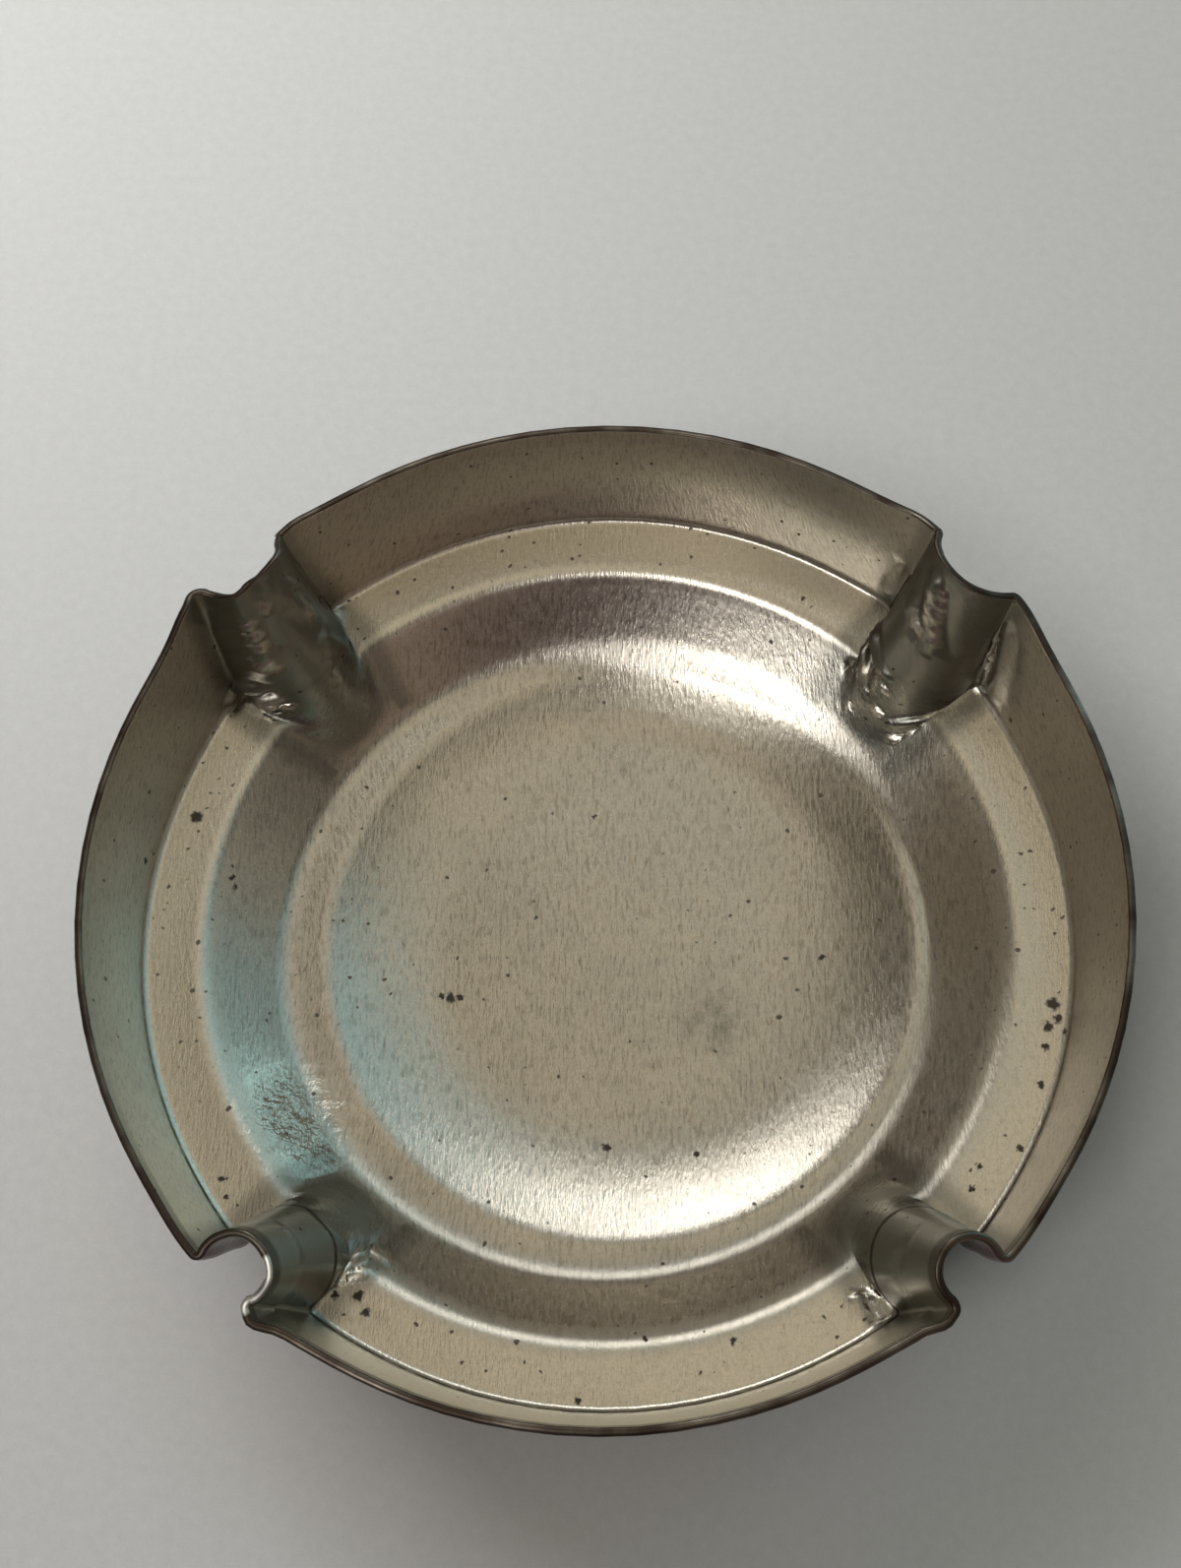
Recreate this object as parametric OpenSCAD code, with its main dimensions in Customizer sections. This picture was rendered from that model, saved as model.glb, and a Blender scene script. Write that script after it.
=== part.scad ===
// Champagne capsule (plaque de muselet): the thin pressed metal disc held under the
// wire cage of a sparkling-wine cork. It lies with its open side up, resting on the
// closed face, as it does on a table. Millimetres, +Z up, origin at the centre
// of the resting face. The four grooves pressed by the cage wires stand on the
// diagonals; the +Y pair is the wide, shallow one and the -Y pair the narrow, deep one.

/* [Overall] */
// Diameter over the lip of the skirt
capsule_diameter = 31; // [29:0.5:34]
// Thickness of the tinplate sheet
sheet_thickness = 0.24; // [0.18:0.02:0.3]
// Height of the skirt from the inner face of the wire seat to the lip
skirt_height = 4.4; // [3.8:0.2:5.2]

/* [Domed face and bowl] */
// Radius of the flat middle of the face, which the capsule rests on
flat_radius = 5; // [4:0.5:6.5]
// How far the flat middle stands out beyond the rim of the face
face_dome = 0.8; // [0.4:0.05:1.1]
// Width of the flat rim around the dome
face_rim_width = 0.95; // [0.7:0.05:1.2]
// Depth of the bowl from the wire seat to the rim of the face
bowl_depth = 1.8; // [1.4:0.1:2.3]
// Width of the sloping wall between the rim and the wire seat, seen from above
bowl_wall_run = 2.2; // [1.9:0.1:2.8]
// Bend radius where the rim turns up into the wall
foot_bend = 0.6; // [0.4:0.1:0.9]
// Bend radius where the wall turns out into the wire seat
edge_bend = 0.5; // [0.3:0.05:0.7]

/* [Wire seat and skirt] */
// Width of the flat ring the wire loop sits against
seat_width = 1.86; // [1.5:0.1:2.3]
// How far the lip stands outside the crease at the foot of the skirt
skirt_flare = 1; // [0.6:0.1:1.4]
// Bend radius of the crease between wire seat and skirt
crease_bend = 0.35; // [0.25:0.05:0.5]
// Height of the last band of the skirt, which turns out a little more
lip_band = 0.3; // [0.2:0.1:0.6]
// How far that last band turns out
lip_turn_out = 0.05; // [0:0.01:0.1]

/* [Wire grooves] */
// Half the angle between the two wide grooves, either side of +Y
wide_groove_angle = 48.3; // [42:0.1:50]
// Mouth width of the wide grooves at the lip
wide_groove_width = 3.24; // [2.6:0.1:3.6]
// Depth of the wide grooves at the lip
wide_groove_depth = 1.1; // [0.7:0.05:1.5]
// How far the skirt swells out beside a wide groove
wide_groove_swell = 0.25; // [0:0.05:0.35]
// Half the angle between the two narrow grooves, either side of -Y
narrow_groove_angle = 42.2; // [40:0.1:48]
// Mouth width of the narrow grooves at the lip
narrow_groove_width = 2.15; // [1.8:0.05:2.8]
// Depth of the narrow grooves at the lip
narrow_groove_depth = 1.34; // [0.9:0.02:1.5]
// How far the skirt swells out beside a narrow groove
narrow_groove_swell = 0.14; // [0:0.02:0.3]
// Width of every groove where it crosses the wire seat
seat_groove_width = 3.4; // [3:0.1:3.8]
// Width of every groove where it runs out on the bowl wall
foot_groove_width = 2.9; // [2.4:0.1:3.4]
// How much higher the lip stands at the bottom of a groove
groove_lip_lift = 0.52; // [0.2:0.02:0.8]
// Height of the groove bottom over the inner edge of the wire seat
groove_rise = 1.18; // [0.7:0.02:1.4]
// Bend radius at the two shoulders of a groove
groove_shoulder = 0.3; // [0.25:0.01:0.45]

/* [Hidden] */

half = sheet_thickness / 2;
r_lip = capsule_diameter / 2 - half;
r_crease = capsule_diameter / 2 - skirt_flare;
r_seat = r_crease - seat_width;
r_foot = r_seat - bowl_wall_run;
r_dome = r_foot - face_rim_width;
z_flat = half;
z_rim = z_flat + face_dome;
z_seat = z_rim + bowl_depth;
z_lip = z_seat + half + skirt_height;
// The crease is met by the middle of the sheet a little outside its inner corner
crease_shift = 0.8 * half;

// How finely the sheet is divided
groove_steps = 6;      // columns from the bottom of a groove to its shoulder
sector_steps = 16;     // columns between two grooves
dome_steps = 4;
foot_steps = 3;
edge_steps = 3;
crease_steps = 3;
wall_steps = 2;
seat_steps = 2;
skirt_steps = 5;

// ---- half-section of the middle of the sheet, as [radius, height] ----

function unit(v) = v / norm(v);

// Points along a round bend of radius r at corner b, coming from a and leaving to c
function bend(a, b, c, r, n) =
    let (u = unit(a - b), v = unit(c - b), half_angle = acos(u * v) / 2,
         start = b + u * r / tan(half_angle), end = b + v * r / tan(half_angle),
         centre = b + unit(u + v) * r / sin(half_angle),
         a1 = atan2(start[1] - centre[1], start[0] - centre[0]),
         a2 = atan2(end[1] - centre[1], end[0] - centre[0]),
         turn = a2 - a1 > 180 ? a2 - a1 - 360 : a2 - a1 < -180 ? a2 - a1 + 360 : a2 - a1)
    [for (i = [0:n]) centre + r * [cos(a1 + turn * i / n), sin(a1 + turn * i / n)]];

// Points strictly between a and b, dividing the straight into n steps
function between(a, b, n) = [for (i = [1:1:n - 1]) a + (b - a) * i / n];

function last(list) = list[len(list) - 1];

corner_foot = [r_foot, z_rim];
corner_edge = [r_seat, z_seat];
corner_crease = [r_crease + crease_shift, z_seat];
band_start = [r_lip - lip_turn_out, z_lip - lip_band];
lip = [r_lip, z_lip];

// The dome rises ever more steeply from the flat middle to the rim
dome = [for (i = [0:dome_steps])
    let (u = i / dome_steps) [flat_radius + (r_dome - flat_radius) * u, z_flat + face_dome * u * u]];
foot_arc = bend([r_dome, z_rim], corner_foot, corner_edge, foot_bend, foot_steps);
edge_arc = bend(corner_foot, corner_edge, corner_crease, edge_bend, edge_steps);
crease_arc = bend(corner_edge, corner_crease, band_start, crease_bend, crease_steps);

section = concat(
    dome,
    foot_arc,
    between(last(foot_arc), edge_arc[0], wall_steps),
    edge_arc,
    between(last(edge_arc), crease_arc[0], seat_steps),
    crease_arc,
    between(last(crease_arc), band_start, skirt_steps),
    [band_start, (band_start + lip) / 2, lip]);
rows = len(section);
wall_row = dome_steps + foot_steps; // grooves run out just above the foot of the wall

// Share of the way from the foot of the wall to the lip, along the sheet
function run_to(i) = i <= wall_row ? 0 : run_to(i - 1) + norm(section[i] - section[i - 1]);
whole_run = run_to(rows - 1);
share = [for (i = [0:rows - 1]) run_to(i) / whole_run];

// ---- grooves: [angle, mouth width, depth, swell beside it] ----

grooves = [
    [90 - wide_groove_angle, wide_groove_width, wide_groove_depth, wide_groove_swell],
    [90 + wide_groove_angle, wide_groove_width, wide_groove_depth, wide_groove_swell],
    [270 - narrow_groove_angle, narrow_groove_width, narrow_groove_depth, narrow_groove_swell],
    [270 + narrow_groove_angle, narrow_groove_width, narrow_groove_depth, narrow_groove_swell]
];
groove_count = len(grooves);

function ease(x) = x * x * (3 - 2 * x);

// Half width of a groove in row i
seat_share = 0.4;
function groove_half(g, i) =
    let (s = share[i])
    i <= wall_row ? foot_groove_width / 2 * section[i][0] / section[wall_row][0]
    : s < seat_share
      ? (foot_groove_width + (seat_groove_width - foot_groove_width) * ease(s / seat_share)) / 2
      : (seat_groove_width
         + (g[1] - seat_groove_width) * ease((s - seat_share) / (1 - seat_share))) / 2;

// Where the bottom of a groove passes: it leaves the bowl wall smoothly, rises over the
// inner edge of the wire seat and ends at the raised lip
groove_run_out = 1.2;
function groove_bottom(g, s) =
    let (from = section[wall_row],
         leave = from + groove_run_out * unit(section[wall_row + 2] - section[wall_row + 1]),
         over = [r_seat + 0.4, z_seat + 2 * groove_rise],
         to = [r_lip - g[2], z_lip + groove_lip_lift])
    pow(1 - s, 3) * from + 3 * s * pow(1 - s, 2) * leave + 3 * s * s * (1 - s) * over
    + pow(s, 3) * to;

// Point of row i at a share t from the bottom (0) to the shoulder (1) of a groove,
// as [distance sideways, distance pushed in]: two arcs that meet smoothly
function groove_profile(deep, wide, t) =
    let (sweep = 2 * atan(deep / wide), whole = wide / sin(sweep),
         shoulder = min(max(groove_shoulder, whole / 5), whole / 2), inner = whole - shoulder,
         meet = 0.25 + 0.5 * inner / whole)
    t <= meet
      ? let (f = sweep * t / meet) [inner * sin(f), deep - inner * (1 - cos(f))]
      : let (f = sweep * (1 - t) / (1 - meet))
        [wide - shoulder * sin(f), shoulder * (1 - cos(f))];

function around(r, angle, z) = [r * cos(angle), r * sin(angle), z];

function groove_row(g, i) =
    let (point = section[i], push = groove_bottom(g, share[i]) - point,
         deep = i <= wall_row ? 0 : norm(push), way = deep > 0.001 ? push / deep : [0, 0],
         swell = g[3] * pow(share[i], 2))
    [for (j = [-groove_steps:groove_steps])
        let (p = groove_profile(max(deep, 0.001), groove_half(g, i), abs(j) / groove_steps),
             in = deep > 0.001 ? p[1] : 0)
        around(point[0] + swell + way[0] * in,
               g[0] + sign(j) * p[0] / point[0] * 180 / PI,
               point[1] + way[1] * in)];

swell_fade = 1.6;      // how soon the swelling beside a groove dies away
function sector_row(g, next, i) =
    let (r = section[i][0], deg = 180 / PI / r,
         start = g[0] + groove_half(g, i) * deg,
         raw_end = next[0] - groove_half(next, i) * deg,
         end = raw_end < start ? raw_end + 360 : raw_end)
    [for (j = [1:sector_steps - 1])
        let (u = j / sector_steps - 0.07 * sin(360 * j / sector_steps),
             angle = start + (end - start) * u,
             swell = pow(share[i], 2)
                 * (g[3] * exp(-pow((angle - start) / deg / swell_fade, 2))
                    + next[3] * exp(-pow((end - angle) / deg / swell_fade, 2))))
        around(r + swell, angle, section[i][1])];

middle = [for (i = [0:rows - 1])
    [for (k = [0:groove_count - 1])
        let (g = grooves[k], next = grooves[(k + 1) % groove_count])
        each concat(groove_row(g, i), sector_row(g, next, i))]];
columns = len(middle[0]);

// Direction square to the sheet; the flat middle keeps it straight up
function square_to(i, j) =
    i == 0 ? [0, 0, 1]
    : unit(cross(middle[min(i + 1, rows - 1)][j] - middle[i - 1][j],
                 middle[i][(j + 1) % columns] - middle[i][(j + columns - 1) % columns]));
normals = [for (i = [0:rows - 1]) [for (j = [0:columns - 1]) square_to(i, j)]];

function skin(side) = [for (i = [0:rows - 1]) for (j = [0:columns - 1])
    middle[i][j] + side * half * normals[i][j]];

inside = 0;                       // first point of the open side
outside = rows * columns;         // first point of the closed side
centre_in = 2 * rows * columns;
centre_out = centre_in + 1;
function at(skin_start, i, j) = skin_start + i * columns + j % columns;

module capsule() {
    points = concat(skin(1), skin(-1), [[0, 0, sheet_thickness], [0, 0, 0]]);
    open_side = [for (i = [0:rows - 2]) for (j = [0:columns - 1]) each [
        [at(inside, i, j), at(inside, i, j + 1), at(inside, i + 1, j + 1)],
        [at(inside, i, j), at(inside, i + 1, j + 1), at(inside, i + 1, j)]]];
    closed_side = [for (i = [0:rows - 2]) for (j = [0:columns - 1]) each [
        [at(outside, i, j), at(outside, i + 1, j + 1), at(outside, i, j + 1)],
        [at(outside, i, j), at(outside, i + 1, j), at(outside, i + 1, j + 1)]]];
    cut_edge = [for (j = [0:columns - 1]) each [
        [at(inside, rows - 1, j), at(inside, rows - 1, j + 1), at(outside, rows - 1, j + 1)],
        [at(inside, rows - 1, j), at(outside, rows - 1, j + 1), at(outside, rows - 1, j)]]];
    flats = [for (j = [0:columns - 1]) each [
        [centre_in, at(inside, 0, j + 1), at(inside, 0, j)],
        [centre_out, at(outside, 0, j), at(outside, 0, j + 1)]]];
    color([0.72, 0.68, 0.62])
        polyhedron(points = points, faces = concat(open_side, closed_side, cut_edge, flats),
                   convexity = 6);
}

capsule();
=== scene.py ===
"""Champagne capsule lying open side up on a pale table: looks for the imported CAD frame."""
import math

import bpy
import numpy as np
from mathutils import Euler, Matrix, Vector


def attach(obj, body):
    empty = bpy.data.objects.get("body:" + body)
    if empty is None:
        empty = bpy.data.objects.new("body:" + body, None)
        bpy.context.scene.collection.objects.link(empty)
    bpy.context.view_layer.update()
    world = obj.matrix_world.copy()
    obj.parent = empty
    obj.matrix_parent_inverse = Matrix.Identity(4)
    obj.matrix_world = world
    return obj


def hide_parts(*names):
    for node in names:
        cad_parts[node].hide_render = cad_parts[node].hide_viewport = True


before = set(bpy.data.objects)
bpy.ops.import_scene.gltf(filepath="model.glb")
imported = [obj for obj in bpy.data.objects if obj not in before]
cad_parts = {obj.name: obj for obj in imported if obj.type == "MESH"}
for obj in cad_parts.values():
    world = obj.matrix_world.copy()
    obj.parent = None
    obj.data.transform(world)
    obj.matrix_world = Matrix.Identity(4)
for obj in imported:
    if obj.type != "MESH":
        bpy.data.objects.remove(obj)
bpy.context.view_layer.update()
MM = 0.001

# ---------------------------------------------------------------- camera and lamps
# Image size in pixels, sensor and lens in mm, place of the camera in mm and its turn in degrees
IMAGE_SIZE = (1200, 1593)
SENSOR, LENS = 36.0, 47.78
CAMERA_PLACE = (1.778, -19.746, 64.911)
CAMERA_TURN = (21.651, 1.906, 0.491)

# Soft lamps facing the capsule: azimuth from +X towards +Y and height above the horizon in
# degrees, distance and size in metres, and whether the metal mirrors them
LAMPS = [
    dict(name="lamp", azimuth=228, height=56, distance=0.50, width=0.155, tall=0.155,
         colour=(1.0, 0.985, 0.95), radiance=6.6, mirrored=True),
    dict(name="daylight", azimuth=103, height=45, distance=0.20, width=0.080, tall=0.085,
         colour=(1.0, 0.985, 0.95), radiance=2.9, mirrored=True),
    dict(name="fill", azimuth=137, height=38, distance=0.11, width=0.060, tall=0.050,
         colour=(1.0, 0.99, 0.98), radiance=7.6, mirrored=False),
]

# ---------------------------------------------------------------- sizes of the capsule, mm
DIAMETER = 31.0
SHEET = 0.24
SKIRT_HEIGHT = 4.4
FLAT_RADIUS = 5.0
FACE_DOME = 0.8
RIM_WIDTH = 0.95
BOWL_DEPTH = 1.8
WALL_RUN = 2.2
FOOT_BEND, EDGE_BEND, CREASE_BEND = 1.1, 0.75, 0.35
SEAT_WIDTH = 1.86
SKIRT_FLARE = 1.0
LIP_BAND, LIP_TURN_OUT = 0.3, 0.05
FOOT_GROOVE_WIDTH = 2.9
GROOVE_LIP_LIFT, GROOVE_RISE, GROOVE_LEAN = 0.52, 1.18, 0.4
GROOVE_SHOULDER, GROOVE_RUN_OUT = 0.3, 1.2
GROOVE_SEAT_SHARE = 0.4      # share of a groove's run at which it has its width at the seat
SWELL_FADE, CORNER_FADE = 1.6, 0.9

# The far side of the bowl is pushed in to one smooth curve without a flat rim: radius in mm and
# slope in degrees. The domed middle sits a little to the right and to the back
FAR_CURVE = [(5.0, 0), (7.3, 4), (8.2, 21), (10.3, 29), (11.0, 38), (13.0, 42)]
FAR_CURVE_ANGLE, FAR_CURVE_SPREAD = 72.0, 62.0
DOME_SHIFT = (0.40, 0.12)
SLIDE_IN, SLIDE_OUT, SLIDE_PAST_FOOT = 2.5, 1.3, 0.2     # mm over which the shift comes and goes

# Each groove: angle, mouth width, width at the seat, depth, swell of the skirt on its clockwise and
# anticlockwise side, how far the two corners of the lip stand up, and how square the two sides of
# the notch are (below 1 is squarer)
GROOVES = [
    dict(angle=41.7, width=3.24, seat=4.0, depth=1.10, swell=(0.30, 0.28),
         corner=(0.10, 0.16), square=(1.25, 0.70)),
    dict(angle=138.3, width=3.24, seat=4.4, depth=1.10, swell=(0.22, 0.34),
         corner=(0.05, 0.36), square=(0.38, 1.10)),
    dict(angle=227.8, width=2.15, seat=3.4, depth=1.34, swell=(0.14, 0.14),
         corner=(0.00, 0.00), square=(1.0, 0.8)),
    dict(angle=312.2, width=2.15, seat=3.4, depth=1.34, swell=(0.14, 0.14),
         corner=(0.00, 0.00), square=(0.9, 0.9)),
]

HALF = SHEET / 2
R_LIP = DIAMETER / 2 - HALF
R_CREASE = DIAMETER / 2 - SKIRT_FLARE
R_SEAT = R_CREASE - SEAT_WIDTH
R_FOOT = R_SEAT - WALL_RUN
R_DOME = R_FOOT - RIM_WIDTH
Z_FLAT = HALF
Z_RIM = Z_FLAT + FACE_DOME
Z_SEAT = Z_RIM + BOWL_DEPTH
Z_LIP = Z_SEAT + HALF + SKIRT_HEIGHT

GROOVE_SHADE_FLOOR, GROOVE_SHADE_DEPTH = 0.7, 0.4      # least painted shade in a groove, and the depth that has it whole
SHADE_BESIDE_GROOVE, SHADE_BESIDE_REACH = 0.8, 0.7     # painted shade beside a groove, and how far it reaches in mm
RIM_CORNER = 0.12              # the dome ends this far before the rim's even rows
CREASE_OUT = 0.8 * HALF        # the crease's corner lies this far outside R_CREASE

# Rows of points along each stretch of the section, from the middle to the lip
FLAT_ROWS, DOME_ROWS, RIM_ROWS, FOOT_ROWS, WALL_ROWS = 10, 15, 4, 8, 16
EDGE_ROWS, SEAT_ROWS, CREASE_ROWS, SKIRT_ROWS, LIP_ROWS = 7, 14, 8, 34, 4
GROOVE_STEPS = 22      # columns from the bottom of a groove to its shoulder
SECTOR_STEPS = 34      # columns between two grooves
SECTOR_CROWDING = 0.125        # how much closer the columns stand beside the grooves
CUT_EDGE_BULGE = 0.05          # mm


# ---------------------------------------------------------------- shape of the sheet
def unit(v):
    v = np.asarray(v, float)
    return v / np.linalg.norm(v)


def bend(a, b, c, radius, steps):
    """Points along a round bend at corner b, coming from a and leaving to c."""
    a, b, c = (np.asarray(p, float) for p in (a, b, c))
    u, v = unit(a - b), unit(c - b)
    half_angle = math.acos(float(u @ v)) / 2
    start, end = b + u * radius / math.tan(half_angle), b + v * radius / math.tan(half_angle)
    centre = b + unit(u + v) * radius / math.sin(half_angle)
    a1 = math.atan2(*(start - centre)[::-1])
    turn = (math.atan2(*(end - centre)[::-1]) - a1 + math.pi) % (2 * math.pi) - math.pi
    return [centre + radius * np.array([math.cos(a1 + turn * i / steps), math.sin(a1 + turn * i / steps)])
            for i in range(steps + 1)]


def between(a, b, steps):
    """Even points between a and b, without the two."""
    a, b = np.asarray(a, float), np.asarray(b, float)
    return [a + (b - a) * i / steps for i in range(1, steps)]


def half_section():
    """Middle of the sheet from near the centre to the lip, the row where grooves start and the
    number of flat rows."""
    foot, edge = (R_FOOT, Z_RIM), (R_SEAT, Z_SEAT)
    crease = (R_CREASE + CREASE_OUT, Z_SEAT)
    band, lip = np.array([R_LIP - LIP_TURN_OUT, Z_LIP - LIP_BAND]), np.array([R_LIP, Z_LIP])
    dome = [np.array([FLAT_RADIUS + (R_DOME - FLAT_RADIUS) * u, Z_FLAT + FACE_DOME * u * u])
            for u in np.linspace(0, 1, DOME_ROWS)]
    foot_arc = bend((R_DOME, Z_RIM), foot, edge, FOOT_BEND, FOOT_ROWS)
    edge_arc = bend(foot, edge, crease, EDGE_BEND, EDGE_ROWS)
    crease_arc = bend(edge, crease, band, CREASE_BEND, CREASE_ROWS)
    flat = between((0, Z_FLAT), (FLAT_RADIUS, Z_FLAT), FLAT_ROWS)
    rim_start = dome[-1] + (RIM_CORNER, 0.0)
    start = flat + dome + [rim_start] + between(rim_start, foot_arc[0], RIM_ROWS)
    rows = (start + foot_arc + between(foot_arc[-1], edge_arc[0], WALL_ROWS) + edge_arc
            + between(edge_arc[-1], crease_arc[0], SEAT_ROWS) + crease_arc
            + between(crease_arc[-1], band, SKIRT_ROWS) + [band] + between(band, lip, LIP_ROWS) + [lip])
    return np.array(rows), len(start) + FOOT_ROWS, len(flat)


def far_section(section, flat_rows, wall_row):
    """The same rows where the bowl is pushed in: the slope grows steadily up to the wall."""
    far = section.copy()
    radius, slope = zip(*FAR_CURVE)
    end = wall_row + WALL_ROWS - 1
    for i in range(flat_rows, end + 1):
        r0, r1 = far[i - 1][0], far[i][0]
        rise = math.tan(math.radians(np.interp((r0 + r1) / 2, radius, slope)))
        far[i][1] = far[i - 1][1] + (r1 - r0) * rise
    gap = section[end][1] - far[end][1]
    start = far[flat_rows - 1][0]
    for i in range(flat_rows, end + 1):
        far[i][1] += gap * ((far[i][0] - start) / (far[end][0] - start)) ** 2
    return far


def ease(x):
    """Smooth step from 0 to 1."""
    return x * x * (3 - 2 * x)


def groove_profile(deep, wide, t, s):
    """Point at share t from the bottom (0) to the shoulder (1): (sideways, pushed in).

    The shoulders get tighter towards the lip, where s is 1."""
    sweep = 2 * math.atan(deep / wide)
    whole = wide / math.sin(sweep)
    shoulder = min(max(GROOVE_SHOULDER, whole / 5) * (1 - 0.45 * s), whole / 2)
    inner = whole - shoulder
    meet = 0.25 + 0.5 * inner / whole
    if t <= meet:
        f = sweep * t / meet
        return inner * math.sin(f), deep - inner * (1 - math.cos(f))
    f = sweep * (1 - t) / (1 - meet)
    return wide - shoulder * math.sin(f), shoulder * (1 - math.cos(f))


def middle_surface():
    """Grid of points on the middle of the sheet, with where each lies on the sheet."""
    section, wall_row, flat_rows = half_section()
    run = np.concatenate([[0.0], np.cumsum(np.linalg.norm(np.diff(section, axis=0), axis=1))])
    developed = run + section[0][0]
    share = np.clip((run - run[wall_row]) / (run[-1] - run[wall_row]), 0, 1)
    wall_way = unit(section[wall_row + 3] - section[wall_row + 2])

    def half_width(g, i):
        s = share[i]
        if i <= wall_row:
            return FOOT_GROOVE_WIDTH / 2 * section[i][0] / section[wall_row][0]
        if s < GROOVE_SEAT_SHARE:
            return (FOOT_GROOVE_WIDTH + (g["seat"] - FOOT_GROOVE_WIDTH) * ease(s / GROOVE_SEAT_SHARE)) / 2
        past_seat = (s - GROOVE_SEAT_SHARE) / (1 - GROOVE_SEAT_SHARE)
        return (g["seat"] + (g["width"] - g["seat"]) * ease(past_seat)) / 2

    def bottom(g, s):
        p0 = section[wall_row]
        p1 = p0 + GROOVE_RUN_OUT * wall_way
        p2 = np.array([R_SEAT + GROOVE_LEAN, Z_SEAT + 2 * GROOVE_RISE])
        p3 = np.array([R_LIP - g["depth"], Z_LIP + GROOVE_LIP_LIFT])
        return (1 - s) ** 3 * p0 + 3 * s * (1 - s) ** 2 * p1 + 3 * s * s * (1 - s) * p2 + s ** 3 * p3

    rows, across = [], []
    for i, (r, z) in enumerate(section):
        line, local = [], []
        s = share[i]
        for k, g in enumerate(GROOVES):
            nxt = GROOVES[(k + 1) % len(GROOVES)]
            wide = half_width(g, i)
            push = bottom(g, s) - section[i]
            deep = float(np.linalg.norm(push)) if i > wall_row else 0.0
            way = push / deep if deep > 1e-3 else np.zeros(2)
            for j in range(-GROOVE_STEPS, GROOVE_STEPS + 1):
                side, into = groove_profile(max(deep, 1e-3), wide, abs(j) / GROOVE_STEPS, s)
                which = 1 if j > 0 else 0
                squarer = 1 + (g["square"][which] - 1) * s * s
                into = deep * (into / deep) ** squarer if deep > 1e-3 else 0.0
                shoulder = 1 - into / max(deep, 1e-3)
                blend = 0.5 + 0.5 * j / GROOVE_STEPS
                swell = (g["swell"][0] * (1 - blend) + g["swell"][1] * blend) * s * s
                lift = g["corner"][which] * s ** 4 * max(0.0, shoulder) ** 2 if deep > 1e-3 else 0.0
                radius = r + swell + way[0] * into
                angle = math.radians(g["angle"]) + (math.copysign(side, j) / r if j else 0.0)
                line.append((radius * math.cos(angle), radius * math.sin(angle), z + way[1] * into + lift))
                # painted shade in a groove, darker where the sheet is pushed in deeper
                painted_shade_and_glint = min(1.0, GROOVE_SHADE_FLOOR + into) * min(1.0, deep / GROOVE_SHADE_DEPTH)
                local.append((k, j / GROOVE_STEPS * wide, painted_shade_and_glint))
            start = math.radians(g["angle"]) + wide / r
            end = math.radians(nxt["angle"]) - half_width(nxt, i) / r
            end += 2 * math.pi if end < start else 0.0
            for j in range(1, SECTOR_STEPS):
                u = j / SECTOR_STEPS
                u -= SECTOR_CROWDING * math.sin(2 * math.pi * u)
                angle = start + (end - start) * u
                d0, d1 = (angle - start) * r, (end - angle) * r
                swell = s * s * (g["swell"][1] * math.exp(-(d0 / SWELL_FADE) ** 2)
                                 + nxt["swell"][0] * math.exp(-(d1 / SWELL_FADE) ** 2))
                lift = s ** 4 * (g["corner"][1] * math.exp(-(d0 / CORNER_FADE) ** 2)
                                 + nxt["corner"][0] * math.exp(-(d1 / CORNER_FADE) ** 2))
                line.append(((r + swell) * math.cos(angle), (r + swell) * math.sin(angle), z + lift))
                # painted shade on the sheet beside a groove, past the foot of the bowl wall
                painted_shade_and_glint = SHADE_BESIDE_GROOVE * math.exp(-(min(d0, d1) / SHADE_BESIDE_REACH) ** 4) * (i > wall_row)
                local.append((k, wide + d0, painted_shade_and_glint) if d0 < d1
                             else ((k + 1) % len(GROOVES), -half_width(nxt, i) - d1, painted_shade_and_glint))
        rows.append(line)
        across.append(local)
    grid = np.array(rows)
    push_in_far_side(grid, section, flat_rows, wall_row)
    return grid, np.array(across), run - run[wall_row], developed, flat_rows


def push_in_far_side(grid, section, flat_rows, wall_row):
    """Lift the far side of the bowl to its smoother curve and slide the domed middle over."""
    far = far_section(section, flat_rows, wall_row)
    for i in range(flat_rows, wall_row + WALL_ROWS):
        angle = np.degrees(np.arctan2(grid[i, :, 1], grid[i, :, 0])) - FAR_CURVE_ANGLE
        off = np.abs((angle + 180) % 360 - 180) / FAR_CURVE_SPREAD
        how_far = (0.5 + 0.5 * np.cos(np.pi * np.clip(off, 0, 1))) ** 0.6
        grid[i, :, 2] += how_far * (far[i][1] - section[i][1])
        r = section[i][0]
        past_flat = np.clip((r - FLAT_RADIUS) / SLIDE_IN, 0, 1)
        to_foot = np.clip((R_FOOT + SLIDE_PAST_FOOT - r) / SLIDE_OUT, 0, 1)
        slide = ease(past_flat) * ease(to_foot)
        grid[i, :, 0] += DOME_SHIFT[0] * slide
        grid[i, :, 1] += DOME_SHIFT[1] * slide


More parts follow.
